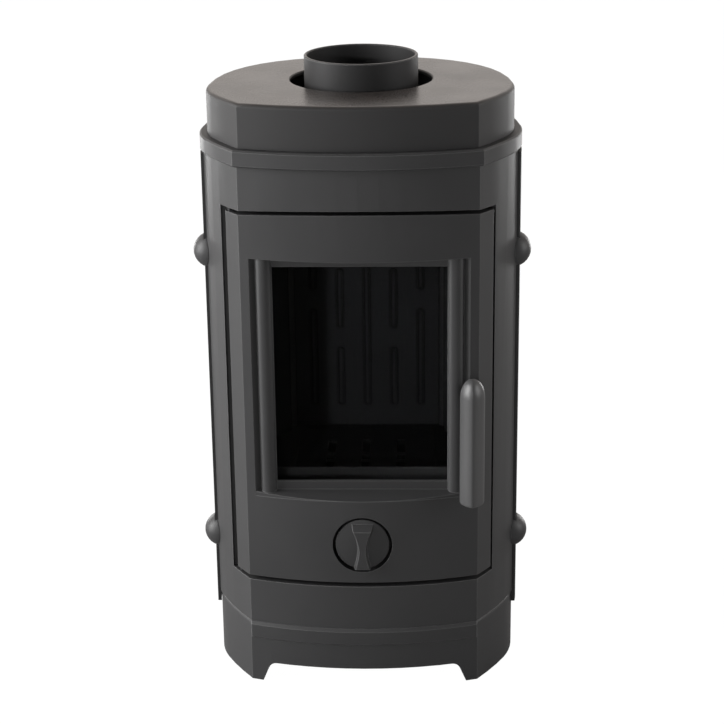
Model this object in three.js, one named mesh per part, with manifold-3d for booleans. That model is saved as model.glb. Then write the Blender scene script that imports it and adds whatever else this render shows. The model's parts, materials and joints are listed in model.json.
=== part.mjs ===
// Cast-iron column stove: bowed front with two side facets, round back, door with a window,
// flue spigot on top. Millimetres, +Z up, the front faces -Y.
// While it is modelled, y = 0 is the plane of the widest plan section and z = 0 the floor.
import * as THREE from 'three';
import { mergeVertices } from 'three/addons/utils/BufferGeometryUtils.js';
import Module from 'manifold-3d';

const wasm = await Module();
wasm.setup();

// ---------------------------------------------------------------- driving dimensions

// clearances
const seatGap = 0.3; // between pieces that rest on or lie against each other
const shaftGap = 0.3; // round a pin, screw or shaft, on the radius

// plan outline of the cap; every casting follows it at its own offset
const halfWidth = 200.4; // where facets and back would meet, before that corner is rounded
const cornerFront = 34; // the rounded corner starts this far in front of y = 0
const cornerRear = 34; // and ends this far behind it
const creaseInset = 49.4; // creases of the bowed front and the facets inside the half width
const creaseDepth = 95.8; // crease in front of the widest section
const frontBow = 24.7; // rise of the front arc
const facetExponent = 1.33; // roundness of the facets, 1 is straight
const rearDepth = 219.4; // back of the outline behind the widest section
const rearExponent = 2.38; // roundness of the back, 2 is an ellipse

// how far each outer face stands outside the cap outline
const plinthOut = 4.6;
const frontBandRise = 2; // raised band in front, on the plinth
const frontOut = 3.2;
const doorOut = 3.8;
const sideOut = 10.2;
const bandOut = 10.4;

// heights, one above the other
const plinthHeight = 88;
const bodyHeight = 632.4; // plinth to the lower edge of the moulding band
const bandHeight = 21.6;
const capHeight = 57.4;
const flueRise = 31.8; // spigot above the cap

// plinth
const plinthWall = 7;
const deckThickness = 8;
const archInset = 24; // arch's upper corners inside the creases
const archSlant = 12;
const archHeight = 28.5;
const archRadius = 8;
const frontBandHeight = 24;
const plinthChamfer = 1.4;

// front casting
const frontWall = 6;
const openingAbovePlinth = 62.5;
const openingHeight = 517; // in the middle; its top edge is an arch
const archRise = 6; // middle of the arch over the door's upper corners
const revealWall = 6;
const stopPlaneY = -52; // the door rope closes against this plane
const stopThickness = 6;
const rearEdgeOut = 5.8; // rear edges of the front casting outside the cap outline
const rearEdgeRadius = 2.6;
const seamY = -3.1; // middle of the seam between the front and the sides

// side and rear castings
const sideWall = 5;
const backingWall = 3; // second layer inside the side and rear skins
const sideDrop = 17; // how far the sides hang over the plinth
const sideTopDrop = 5.5; // how far their top edge stays under the moulding band
const lapWall = 5;
const lapReach = 22; // the flange behind the neighbouring casting
const flangeReach = 22; // horizontal flanges at top and bottom
const flangeThickness = 7;
const rearSeamInset = 82.4; // seams of the rear casting inside the half width
const rearBoltBeyondSeam = 10;

// top plate and cap
const topPlateThickness = 8;
const bandChamfer = 2;
const capWall = 5;
const capEdgeRadius = 5.5;
const flueHoleRadius = 93.8;
const flueCentreY = 64;
const fluePlateHoleRadius = 66;

// flue spigot
const flueOuterRadius = 75;
const flueWall = 4;
const flueFlangeRadius = 91;
const flueFlangeThickness = 8;
const flueBoltTurns = [60, 180, 300]; // degrees from the right-hand side
const flueBoltCircle = 83;

// domed caps on the seams
const domeRadius = 24.3;
const domeProud = 14.4; // tip beyond the side castings
const domeBehindSeam = 14;
const domeUpperAbovePlinth = 493;
const domeLowerAbovePlinth = 88;
const domeStudRadius = 4;
const domeNutRadius = 7;
const domeNutThickness = 6;

// door
const doorInset = 29; // the door's edges inside the half width
const doorWall = 5.5;
const doorGapHinge = 7.2;
const doorGapLatch = 2.5;
const doorGapTop = 5.1;
const doorGapBottom = 6.6;
const rimWall = 9;
const rimInset = 1.5;
const ropeWidth = 9;
const ropeThickness = 5.4;
const ropeInset = 4; // rope's ends inside the door's top and bottom edges
const landOverlap = 1.5; // the stop frame reaches inside the rope
const hingePinRadius = 3;
const hingeBarrelRadius = 5.8;
const hingePinLength = 34;
const hingeLugHeight = 15;
const hingeLugRadius = 10;

// window
const stileWidth = 29.8; // door left and right of the window, at its face
const windowSplay = 8.4; // the recess narrows by this much at each side
const windowTopBelowDoor = 61.4;
const windowHeight = 327;
const jambWidth = 20.7; // from the recess to the glass opening
const glassTopInset = 12.5; // top of the glass opening under the window's top
const glassBottomInset = 19.5; // bottom of the glass opening over the window's front sill
const flangeFaceY = -98; // front face of the flange that the glass lies behind
const windowFlange = 5;
const sillRise = 7.5;
const recessWall = 5;
const columnWidth = 20.6;
const columnDepthShare = 0.78; // depth of a jamb column over half its width
const glassThickness = 4;
const glassGasketThickness = 2;
const glassGasketWidth = 9;
const glassMargin = 11.5; // glass edge outside its opening
const clipInset = 40; // screws of the glass clips from the glass's top and bottom
const clipEnd = 9;
const clipOverlap = 8;
const clipThickness = 2;
const clipScrewRadius = 2.5;

// handle and latch
const spindleInset = 26.9; // handle spindle inside the door's edge
const spindleBelowDoorTop = 234.4;
const spindleRadius = 4;
const spindleBossRadius = 7.4;
const handleWidth = 32.2;
const handleDepth = 25;
const handleRidge = 1.45; // its section: 1 is a roof with a sharp ridge, 2 an ellipse
const handleLength = 174;
const handleAboveSpindle = 17;
const handleStandoff = 12; // from the door's face to the back of the bar
const handleDomeLength = 25;
const handleNeckRadius = 9;
const latchHalfWidth = 6.5;
const latchReach = 22;
const latchCorner = 3; // slope at the tongue's corners
const latchThickness = 6;
const strikeThickness = 3;
const strikeHalfHeight = 24;
const nutRadius = 8;
const nutThickness = 6;

// air control in the lower part of the door
const knobAboveDoorBottom = 54.4;
const knobHoleRadius = 39.5;
const knobRadius = 36;
const knobThickness = 8;
const knobDome = 2.6;
const gripHeight = 9; // of the grip over the disc
const gripTopInset = 6.2; // its upper end inside the disc's edge
const gripTopSlope = 7.5; // length of the slope at its upper end
const gripBottomInset = 1.8;
const gripWaistBelow = 5; // the waist under the disc's centre
const gripFootSpread = 2.4; // the flanks spread by this much down to the disc
const gripHeadHalfWidth = 11.8;
const gripTailHalfWidth = 9.2;
const gripWaistHalfWidth = 4.3;
const cupWall = 5;
const cupDepth = 20; // from the door's face to the cup's floor
const airHoles = 3;
const airHoleRadius = 9;
const airHoleCircle = 21;
const airSpindleRadius = 4;
const shutterRadius = 33;
const shutterThickness = 3;

// hearth
const hearthFloorAbovePlinth = 174; // its top face
const hearthFloorThickness = 10;
const hearthInset = 10; // hearth floor and baffle inside the cap outline
const liningInset = 20.5; // side linings inside the cap outline
const liningThickness = 8;
const liningHeight = 375;
const liningLatchGap = 2; // between the latch and the side linings
const liningRearGap = 27; // between the side linings and the rear hearth plate
const rearPlateInset = 96.4; // rear hearth plate's edges inside the half width
const rearPlateThickness = 6;
const ribPitch = 38.5;
const ribWidth = 11;
const ribLine = 2.6; // width of the raised outline of a rib
const ribRise = 1.6;
const ribBottom = 30; // lowest rib end over the hearth floor
const ribTop = 330;
const innerRibTop = 238;
const innerRibBreak = 134; // middle of the breaks in the inner ribs
const outerRibBreak = 192;
const ribBreakHalf = 14;
const grateInset = 103.4; // grate's sides inside the half width
const grateFrontY = -22;
const grateRearY = 172;
const grateThickness = 8;
const grateLedge = 5;
const grateSlotWidth = 12;
const grateSlotLength = 50;
const grateSlotPitch = 49;
const guardHeight = 28;
const guardThickness = 5;
const guardLip = 4;
const guardEndGap = 6.5; // between the guard's ends and the stop frame
const baffleThickness = 8;
const baffleFrontY = 20;

// ash box and pan
const cheekInset = 66.4; // cheeks inside the half width
const cheekThickness = 6;
const shelfAboveOpening = 22; // top of the shelf over the door opening's lower edge
const shelfThickness = 6;
const panSideGap = 8; // between the pan and the cheeks
const panHeight = 46;
const panWall = 2;
const panDepth = 190;
const panFrontY = -40;

// ---------------------------------------------------------------- derived places

const creaseHalfWidth = halfWidth - creaseInset;
const archHalfWidth = creaseHalfWidth - archInset;
const doorHalfWidth = halfWidth - doorInset;
const windowHalfWidth = doorHalfWidth - stileWidth; // at the door's face
const glassHalfOpening = windowHalfWidth - windowSplay - jambWidth;
const spindleX = doorHalfWidth - spindleInset;
const grateHalfWidth = halfWidth - grateInset;
const cheekHalfWidth = halfWidth - cheekInset;
const panHalfWidth = cheekHalfWidth - cheekThickness - panSideGap;
const rearPlateHalfWidth = halfWidth - rearPlateInset;
const rearSeamX = halfWidth - rearSeamInset;

const plinthTop = plinthHeight;
const bandBottom = plinthTop + bodyHeight;
const bandTop = bandBottom + bandHeight;
const capTop = bandTop + capHeight;
const flueTop = capTop + flueRise;
const bodyTop = bandTop - topPlateThickness - seatGap; // castings end under the top plate
const bodyBottom = plinthTop + seatGap;

const openingBottom = plinthTop + openingAbovePlinth;
const openingTop = openingBottom + openingHeight;
const doorBottom = openingBottom + doorGapBottom;
const doorTop = openingTop - doorGapTop;
const openingLeft = -doorHalfWidth - doorGapHinge;
const openingRight = doorHalfWidth + doorGapLatch;
const doorArchRadius = (doorHalfWidth ** 2 + archRise ** 2) / (2 * archRise);
const archDrop = (x) => doorArchRadius - Math.sqrt(doorArchRadius ** 2 - x * x);

// the barrel stays inside the door's edge, and the rope beside the hinge axis
const hingeX = -doorHalfWidth + hingeBarrelRadius + 0.1;
const ropeHalfWidth = -hingeX - 0.5;
const ropeBottom = doorBottom + ropeInset;
const ropeTop = doorTop - archRise - ropeInset;
const rimRearY = stopPlaneY - ropeThickness - 2 * seatGap;
const landHalfWidth = ropeHalfWidth - ropeWidth - landOverlap;
const guardHalfWidth = landHalfWidth - guardEndGap;
const landBottom = ropeBottom + ropeWidth + landOverlap;
const landTop = ropeTop - ropeWidth - landOverlap;
const stopRearY = stopPlaneY + stopThickness;

const hingeDoorTop = doorTop - archDrop(hingeX);
const hingeOpeningTop = openingTop - archDrop(hingeX);

const windowTop = doorTop - windowTopBelowDoor;
const windowBottom = windowTop - windowHeight;
const glassTop = windowTop - glassTopInset;
const glassBottom = windowBottom + glassBottomInset;
const flangeRearY = flangeFaceY + windowFlange;
const glassFrontY = flangeRearY + 2 * seatGap + glassGasketThickness;
const glassRearY = glassFrontY + glassThickness;

const spindleZ = doorTop - spindleBelowDoorTop;
const knobZ = doorBottom + knobAboveDoorBottom;

const hearthTop = plinthTop + hearthFloorAbovePlinth;
const hearthUnder = hearthTop - hearthFloorThickness;
const liningBottom = hearthTop + seatGap;
const liningTop = hearthTop + liningHeight;
const shelfTop = openingBottom + shelfAboveOpening;

const far = 1000; // reach of a cutting block
const flatness = 0.02; // how far a face may be from flat and still count as one

// ---------------------------------------------------------------- solids from three.js shapes

function solidOf(geometry) {
  const plain = geometry.clone();
  plain.deleteAttribute('normal');
  plain.deleteAttribute('uv');
  const merged = mergeVertices(plain, 1e-4);
  const corners = merged.index.array;
  const kept = [];
  for (let i = 0; i < corners.length; i += 3) {
    const [a, b, c] = [corners[i], corners[i + 1], corners[i + 2]];
    if (a !== b && b !== c && c !== a) kept.push(a, b, c);
  }
  return new wasm.Manifold(new wasm.Mesh({
    numProp: 3,
    vertProperties: new Float32Array(merged.attributes.position.array),
    triVerts: new Uint32Array(kept),
  }));
}

// flat faces come out as few large triangles
function geometryOf(solid) {
  const mesh = solid.asOriginal().simplify(flatness).getMesh();
  const geometry = new THREE.BufferGeometry();
  geometry.setAttribute('position', new THREE.BufferAttribute(new Float32Array(mesh.vertProperties), 3));
  geometry.setIndex(new THREE.BufferAttribute(new Uint32Array(mesh.triVerts), 1));
  geometry.computeVertexNormals();
  return geometry;
}

const join = (...solids) => solids.reduce((sum, next) => sum.add(next));
const cut = (solid, ...tools) => tools.reduce((rest, tool) => rest.subtract(tool), solid);

function block(x0, x1, y0, y1, z0, z1) {
  const geometry = new THREE.BoxGeometry(x1 - x0, y1 - y0, z1 - z0);
  geometry.translate((x0 + x1) / 2, (y0 + y1) / 2, (z0 + z1) / 2);
  return solidOf(geometry);
}

// revolve a closed (radius, height) profile about +Z
function revolve(profile, segments = 48) {
  const points = profile.map(([r, h]) => new THREE.Vector2(r, h));
  const geometry = new THREE.LatheGeometry(points, segments);
  geometry.rotateX(Math.PI / 2);
  return geometry;
}

// revolve about a line along +Z; a profile's height is z
function revolveZ(profile, x, y, segments) {
  const geometry = revolve(profile, segments);
  geometry.translate(x, y, 0);
  return solidOf(geometry);
}

// revolve about a line along Y; a profile's height is y
function revolveY(profile, x, z, segments) {
  const geometry = revolve(profile.map(([r, h]) => [r, -h]).reverse(), segments);
  geometry.rotateX(Math.PI / 2);
  geometry.translate(x, 0, z);
  return solidOf(geometry);
}

const rodZ = (x, y, r, z0, z1, segments = 16) =>
  revolveZ([[0, z0], [r, z0], [r, z1], [0, z1]], x, y, segments);
const rodY = (x, z, r, y0, y1, segments = 16) =>
  revolveY([[0, y0], [r, y0], [r, y1], [0, y1]], x, z, segments);

// extrude an (x, z) outline along Y
function plateY(shape, y0, y1, curveSegments = 8) {
  const geometry = new THREE.ExtrudeGeometry(shape, { depth: y1 - y0, bevelEnabled: false, curveSegments });
  geometry.rotateX(Math.PI / 2);
  geometry.translate(0, y1, 0);
  return solidOf(geometry);
}

// extrude a (y, z) outline along X
function plateX(shape, x0, x1) {
  const geometry = new THREE.ExtrudeGeometry(shape, { depth: x1 - x0, bevelEnabled: false });
  const axes = new THREE.Matrix4().makeBasis(
    new THREE.Vector3(0, 1, 0), new THREE.Vector3(0, 0, 1), new THREE.Vector3(1, 0, 0));
  geometry.applyMatrix4(axes);
  geometry.translate(x0, 0, 0);
  return solidOf(geometry);
}

const shapeOf = (points) => new THREE.Shape(points.map(([a, b]) => new THREE.Vector2(a, b)));

// extrude an (x, y) outline along Z
function plateZ(points, z0, z1) {
  const geometry = new THREE.ExtrudeGeometry(shapeOf(points), { depth: z1 - z0, bevelEnabled: false });
  geometry.translate(0, 0, z0);
  return solidOf(geometry);
}

// a block in front of and behind the XZ plane whose top edge is the door's arch
function archedBlock(x0, x1, y0, y1, z0, top) {
  const steps = 12;
  const outline = [[x0, z0], [x1, z0]];
  for (let i = 0; i <= steps; i++) {
    const x = x1 + (x0 - x1) * i / steps;
    outline.push([x, top - archDrop(x)]);
  }
  return plateY(shapeOf(outline), y0, y1);
}

// a solid through rings of points, all of one length and counter-clockwise seen from the last;
// flat gives the two coordinates in which an end ring is filled
function loft(rings, flat) {
  const count = rings[0].length;
  const index = [];
  for (let level = 0; level + 1 < rings.length; level++) {
    for (let i = 0; i < count; i++) {
      const a = level * count + i;
      const b = level * count + (i + 1) % count;
      index.push(a, b, b + count, a, b + count, a + count);
    }
  }
  const endFaces = (ring) =>
    THREE.ShapeUtils.triangulateShape(ring.map((p) => new THREE.Vector2(...flat(p))), []);
  const last = (rings.length - 1) * count;
  for (const [a, b, c] of endFaces(rings[0])) index.push(c, b, a);
  for (const [a, b, c] of endFaces(rings[rings.length - 1])) index.push(last + a, last + b, last + c);
  const geometry = new THREE.BufferGeometry();
  geometry.setAttribute('position', new THREE.Float32BufferAttribute(rings.flat(2), 3));
  geometry.setIndex(index);
  return solidOf(geometry);
}

// a rectangular ring in the XZ plane, extruded along Y
function ringY(outerHalf, innerHalf, outerZ, innerZ, y0, y1) {
  return cut(
    block(-outerHalf, outerHalf, y0, y1, outerZ[0], outerZ[1]),
    block(-innerHalf, innerHalf, y0 - 1, y1 + 1, innerZ[0], innerZ[1]));
}

// stadium outline in the XZ plane
function stadium(x, z0, z1, halfWidth, hole = false) {
  const path = hole ? new THREE.Path() : new THREE.Shape();
  path.absarc(x, z1 - halfWidth, halfWidth, 0, Math.PI, false);
  path.absarc(x, z0 + halfWidth, halfWidth, Math.PI, 2 * Math.PI, false);
  path.closePath();
  return path;
}

const hexPrismY = (x, z, r, y0, y1) => rodY(x, z, r, y0, y1, 6);
const hexPrismZ = (x, y, r, z0, z1) => rodZ(x, y, r, z0, z1, 6);

const mirrorX = (solid) => solid.mirror([1, 0, 0]);

// ---------------------------------------------------------------- the plan outline

const frontRadius = (creaseHalfWidth ** 2 + frontBow ** 2) / (2 * frontBow);
const frontCentreY = frontRadius - creaseDepth - frontBow;
const facetDepth = creaseDepth
  / (1 - (creaseHalfWidth / halfWidth) ** facetExponent) ** (1 / facetExponent);

const facetX = (y) =>
  halfWidth * (1 - (Math.abs(y) / facetDepth) ** facetExponent) ** (1 / facetExponent);
const faceY = (x, out) => frontCentreY - Math.sqrt((frontRadius + out) ** 2 - x * x);

// point of the back at a turn of 0 to 180 degrees from the right-hand side
function rearOutline(turn) {
  const across = Math.abs(Math.cos(turn)) ** (2 / rearExponent) * Math.sign(Math.cos(turn));
  return [halfWidth * across, rearDepth * Math.sin(turn) ** (2 / rearExponent)];
}

const cornerRearTurn = Math.asin((cornerRear / rearDepth) ** (rearExponent / 2));

function facetPoints(steps) {
  const points = [];
  for (let i = 0; i < steps; i++) {
    const y = -creaseDepth + (creaseDepth - cornerFront) * i / steps;
    points.push([facetX(y), y]);
  }
  return points;
}

// the corner at the widest section, rounded between the tangents at its two ends
function cornerPoints(steps) {
  const start = new THREE.Vector2(facetX(-cornerFront), -cornerFront);
  const end = new THREE.Vector2(...rearOutline(cornerRearTurn));
  const small = 0.01;
  const startSlope = (facetX(-cornerFront + small) - facetX(-cornerFront - small)) / (2 * small);
  const [before, after] = [rearOutline(cornerRearTurn - small), rearOutline(cornerRearTurn + small)];
  const endSlope = (after[0] - before[0]) / (after[1] - before[1]);
  const y = (end.x - endSlope * end.y - start.x + startSlope * start.y) / (startSlope - endSlope);
  const middle = new THREE.Vector2(start.x + startSlope * (y - start.y), y);
  return new THREE.QuadraticBezierCurve(start, middle, end).getPoints(steps).map((p) => [p.x, p.y]);
}

// counter-clockwise from the left crease, each point with the direction it moves in when offset
function planOutline() {
  const points = [];
  const frontSteps = 12;
  for (let i = 0; i < frontSteps; i++) {
    const x = creaseHalfWidth * (2 * i / frontSteps - 1);
    points.push([x, faceY(x, 0)]);
  }
  const side = [...facetPoints(3), ...cornerPoints(6)];
  const rearSteps = 20;
  const rear = [];
  for (let i = 1; i < rearSteps; i++) {
    rear.push(rearOutline(cornerRearTurn + (Math.PI - 2 * cornerRearTurn) * i / rearSteps));
  }
  points.push(...side, ...rear, ...side.slice(1).reverse().map(([x, y]) => [-x, y]));
  return points.map((here, i) => {
    const before = points[(i + points.length - 1) % points.length];
    const after = points[(i + 1) % points.length];
    const normal = ([ax, ay], [bx, by]) => {
      const length = Math.hypot(bx - ax, by - ay);
      return [(by - ay) / length, -(bx - ax) / length];
    };
    const [nx, ny] = normal(before, here);
    const [mx, my] = normal(here, after);
    const share = 1 + nx * mx + ny * my;
    return { x: here[0], y: here[1], dx: (nx + mx) / share, dy: (ny + my) / share };
  });
}

const plan = planOutline();

// a solid whose plan outline is offset by a different amount at each height
const planStack = (levels) => loft(
  levels.map(([out, z]) => plan.map((p) => [p.x + p.dx * out, p.y + p.dy * out, z])),
  ([x, y]) => [x, y]);

const prism = (out, z0, z1) => planStack([[out, z0], [out, z1]]);
const wall = (outer, thickness, z0, z1) =>
  cut(prism(outer, z0, z1), prism(outer - thickness, z0 - 1, z1 + 1));

// x where the offset outline crosses y on the right-hand side
function planCrossing(y, out) {
  const offset = plan.map((p) => [p.x + p.dx * out, p.y + p.dy * out]);
  for (let i = 0; i < offset.length; i++) {
    const [x0, y0] = offset[i];
    const [x1, y1] = offset[(i + 1) % offset.length];
    if (x0 > 0 && x1 > 0 && y0 <= y && y < y1) return x0 + (x1 - x0) * (y - y0) / (y1 - y0);
  }
  throw new Error(`the outline does not reach y = ${y}`);
}

// point on the outline at a given offset where it crosses y, on the right-hand side, in front of the widest
function facetPoint(y, out) {
  const slopeStep = 0.5;
  const [x0, x1] = [facetX(y - slopeStep), facetX(y + slopeStep)];
  const length = Math.hypot(x1 - x0, 2 * slopeStep);
  return [facetX(y) + out * 2 * slopeStep / length, y - out * (x1 - x0) / length];
}

// y where the offset outline crosses x at the back, on the right-hand side
function rearCrossing(x, out) {
  const offset = plan.map((p) => [p.x + p.dx * out, p.y + p.dy * out]);
  for (let i = 0; i < offset.length; i++) {
    const [x0, y0] = offset[i];
    const [x1, y1] = offset[(i + 1) % offset.length];
    if (y0 > 0 && y1 > 0 && x1 <= x && x < x0) return y0 + (y1 - y0) * (x - x0) / (x1 - x0);
  }
  throw new Error(`the back of the outline does not reach x = ${x}`);
}

// point on the back above x, on the right-hand side, at a given offset
function rearPoint(x, out) {
  const angle = Math.acos((x / halfWidth) ** (rearExponent / 2));
  const [here, next] = [rearOutline(angle), rearOutline(angle + 0.01)];
  const length = Math.hypot(next[0] - here[0], next[1] - here[1]);
  const normal = [(next[1] - here[1]) / length, -(next[0] - here[0]) / length];
  return { x: here[0] + normal[0] * out, y: here[1] + normal[1] * out, normal };
}

// ---------------------------------------------------------------- castings of the body

function archCut(y0, y1) {
  const shape = new THREE.Shape();
  const low = archHalfWidth + archSlant;
  shape.moveTo(-low, -1);
  shape.lineTo(low, -1);
  shape.lineTo(archHalfWidth + archRadius * archSlant / archHeight, archHeight - archRadius);
  shape.quadraticCurveTo(archHalfWidth, archHeight, archHalfWidth - archRadius, archHeight);
  shape.lineTo(-archHalfWidth + archRadius, archHeight);
  shape.quadraticCurveTo(-archHalfWidth, archHeight,
    -archHalfWidth - archRadius * archSlant / archHeight, archHeight - archRadius);
  shape.closePath();
  return plateY(shape, y0, y1, 4);
}

function basePlinth() {
  const outer = planStack([
    [plinthOut, 0],
    [plinthOut, plinthTop - plinthChamfer * 3],
    [plinthOut - plinthChamfer * 0.35, plinthTop - plinthChamfer * 1.1],
    [plinthOut - plinthChamfer, plinthTop],
  ]);
  const bandLow = plinthTop - frontBandHeight;
  const raised = planStack([
    [plinthOut, bandLow],
    [plinthOut + frontBandRise, bandLow + frontBandRise],
    [plinthOut + frontBandRise, plinthTop - frontBandRise * 2],
    [frontOut, plinthTop],
  ]);
  const bandZone = block(-creaseHalfWidth - 2, creaseHalfWidth + 2, -far, -creaseDepth + 6, 0, far);
  const hollow = prism(plinthOut - plinthWall, -1, plinthTop - deckThickness);
  return cut(join(outer, raised.intersect(bandZone)), hollow, archCut(-far, 0), archCut(0, far));
}

function spindleAt(y0, y1, radius) {
  return rodY(spindleX, spindleZ, radius, y0, y1);
}

// the hinge axis lies inside the door's hinge edge, half way between its face and the rope
function hingePlace() {
  const edgeFacet = facetPoint(facetYAt(doorHalfWidth), doorOut);
  const [nx, ny] = facetNormal(facetYAt(doorHalfWidth));
  const along = (hingeX + edgeFacet[0]) * -nx;
  const inward = hingeBarrelRadius + 0.1;
  return [hingeX, edgeFacet[1] + (inward + along) / -ny];
}

function facetNormal(y) {
  const step = 0.5;
  const dx = facetX(y + step) - facetX(y - step);
  const length = Math.hypot(dx, 2 * step);
  return [2 * step / length, -dx / length];
}

// y on the cap outline whose offset by the door's own offset reaches x
function facetYAt(x) {
  let [low, high] = [-creaseDepth, 0];
  for (let i = 0; i < 40; i++) {
    const middle = (low + high) / 2;
    if (facetPoint(middle, doorOut)[0] < x) low = middle;
    else high = middle;
  }
  return low;
}

const [hingeAxisX, hingeAxisY] = hingePlace();

const domeY = seamY + domeBehindSeam;
const domeX = planCrossing(domeY, sideOut) + domeProud - domeRadius;
const domeHeights = [domeUpperAbovePlinth, domeLowerAbovePlinth].map((above) => plinthTop + above);

// a round bar along X on the axis of the dome at height z
function domeRod(radius, x0, x1, z, segments = 24) {
  const geometry = revolve([[0, x0], [radius, x0], [radius, x1], [0, x1]], segments);
  geometry.rotateY(Math.PI / 2);
  geometry.translate(0, domeY, z);
  return solidOf(geometry);
}

const studHoles = () =>
  join(...domeHeights.map((z) => domeRod(domeStudRadius + shaftGap, halfWidth / 2, far, z)));

// the thickened rear edge of the front casting, on the right-hand side: the facet runs on nearly
// straight to the seam, where its corner is round or, in the tool that cuts the domes, sharp
function rearEdge(extra, round, rearY, z0, z1) {
  const start = new THREE.Vector2(...facetPoint(-cornerFront, frontOut + extra));
  const corner = rearEdgeRadius;
  const end = new THREE.Vector2(planCrossing(seamY, rearEdgeOut + extra), rearY - corner);
  const slope = facetX(-cornerFront + 0.5) - facetX(-cornerFront - 0.5);
  const middleY = (start.y + end.y) / 2;
  const middle = new THREE.Vector2(start.x + slope * (middleY - start.y), middleY);
  const face = new THREE.QuadraticBezierCurve(start, middle, end).getPoints(5).map((p) => [p.x, p.y]);
  const turnSteps = 4;
  for (let i = 1; round && i <= turnSteps; i++) {
    const turn = Math.PI / 2 * i / turnSteps;
    face.push([end.x - corner * (1 - Math.cos(turn)), end.y + corner * Math.sin(turn)]);
  }
  if (!round) face.push([end.x, rearY]);
  const inner = frontOut - 2;
  return plateZ([...face, [planCrossing(seamY, inner), rearY], facetPoint(-cornerFront, inner)], z0, z1);
}

function frontCasting() {
  const rearY = seamY - seatGap / 2;
  const front = block(-far, far, -far, rearY, 0, far);
  const skin = wall(frontOut, frontWall, bodyBottom, bodyTop);
  const inside = prism(frontOut - 1, bodyBottom, bodyTop);
  const seatFlanges = join(
    wall(frontOut - 1, flangeReach, bodyBottom, bodyBottom + flangeThickness),
    wall(frontOut - 1, flangeReach, bodyTop - flangeThickness, bodyTop),
  ).intersect(block(-far, far, -far, seamY - lapReach - 4 * seatGap, 0, far));
  const edge = rearEdge(0, true, rearY, bodyBottom, bandBottom - seatGap);
  const stopFrame = cut(
    archedBlock(-halfWidth, halfWidth, -far, stopRearY, openingBottom - revealWall, openingTop + revealWall),
    block(-landHalfWidth, landHalfWidth, -far, far, landBottom, landTop),
  ).intersect(inside);
  const lugs = join(
    rodZ(hingeAxisX, hingeAxisY, hingeLugRadius, openingTop - archRise, hingeOpeningTop + hingeLugHeight),
    rodZ(hingeAxisX, hingeAxisY, hingeLugRadius, openingBottom - hingeLugHeight, openingBottom),
  ).intersect(inside);
  const opening = archedBlock(openingLeft, openingRight, -far, stopPlaneY, openingBottom, openingTop);
  const pinHole = rodZ(hingeAxisX, hingeAxisY, hingePinRadius + shaftGap, openingBottom - hingeLugHeight * 2,
    openingTop + hingeLugHeight * 2);
  const body = join(skin, seatFlanges, edge, mirrorX(edge)).intersect(front);
  return cut(join(body, stopFrame, lugs), opening, pinHole);
}

// the right-hand side casting; the left one is its mirror image
function rightSideCasting() {
  const seam = seamY + seatGap / 2;
  const rear = rearSeamX + seatGap / 2;
  const lapFace = frontOut - frontWall - seatGap;
  const zone = cut(block(0, far, seam, far, 0, far), block(-far, rear, 0, far, 0, far));
  const skin = wall(sideOut, sideWall, plinthTop - sideDrop, bandBottom - sideTopDrop).intersect(zone);
  const innerWall = wall(sideOut - sideWall + 0.5, backingWall + 0.5, bodyBottom, bandBottom - sideTopDrop);
  const riser = wall(frontOut, 6, bandBottom - 2 * sideTopDrop, bodyTop).intersect(zone);
  const stepUp = wall(sideOut - 1, 12, bandBottom - 2.4 * sideTopDrop, bandBottom - sideTopDrop)
    .intersect(zone);
  const flanges = join(
    wall(frontOut - 1, flangeReach, bodyBottom, bodyBottom + flangeThickness),
    wall(frontOut - 1, flangeReach, bodyTop - flangeThickness, bodyTop),
  ).intersect(zone);
  const foot = wall(sideOut - 1, 12, bodyBottom, bodyBottom + flangeThickness).intersect(zone);
  const webZone = block(0, far, seam, seam + lapWall + 1, bodyBottom, bandBottom - sideTopDrop);
  const web = wall(sideOut - 1, sideOut - 1 - lapFace + lapWall, bodyBottom, bandBottom - sideTopDrop)
    .intersect(webZone);
  const lapZone = block(0, far, seam - lapReach, seam + lapWall + 1, bodyBottom, bodyTop);
  const lap = wall(lapFace, lapWall, bodyBottom, bodyTop).intersect(lapZone);
  return cut(join(skin, innerWall.intersect(zone), riser, stepUp, flanges, foot, web, lap),
    studHoles(), rearBoltHoles());
}

const rearBoltHeights = [90, 530].map((above) => plinthTop + above);
const rearBoltX = rearSeamX + rearBoltBeyondSeam;
const rearBoltRadius = 3;

function radialRod(radius, inward, outward, z, segments, sign) {
  const { x, y, normal } = rearPoint(rearBoltX, sideOut);
  const geometry = revolve([[0, -inward], [radius, -inward], [radius, outward], [0, outward]], segments);
  geometry.rotateX(-Math.PI / 2);
  geometry.rotateZ(-Math.atan2(normal[0], normal[1]));
  geometry.translate(x, y, z);
  const rod = solidOf(geometry);
  return sign > 0 ? rod : mirrorX(rod);
}

function rearBoltHoles() {
  const holes = [];
  for (const z of rearBoltHeights) {
    for (const sign of [1, -1]) {
      holes.push(radialRod(rearBoltRadius + shaftGap, 4 * sideOut, sideOut, z, 12, sign));
    }
  }
  return join(...holes);
}

function rearBolt(z, sign) {
  const shank = radialRod(rearBoltRadius, sideWall * 2 + 7, seatGap + 1, z, 12, sign);
  const head = cut(radialRod(6, 0, seatGap + 5, z, 6, sign), radialRod(7, 1, seatGap, z, 12, sign));
  return join(shank, head);
}

// the rear casting laps the side castings from inside
const rearLapFace = sideOut - sideWall - backingWall - seatGap;

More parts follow.
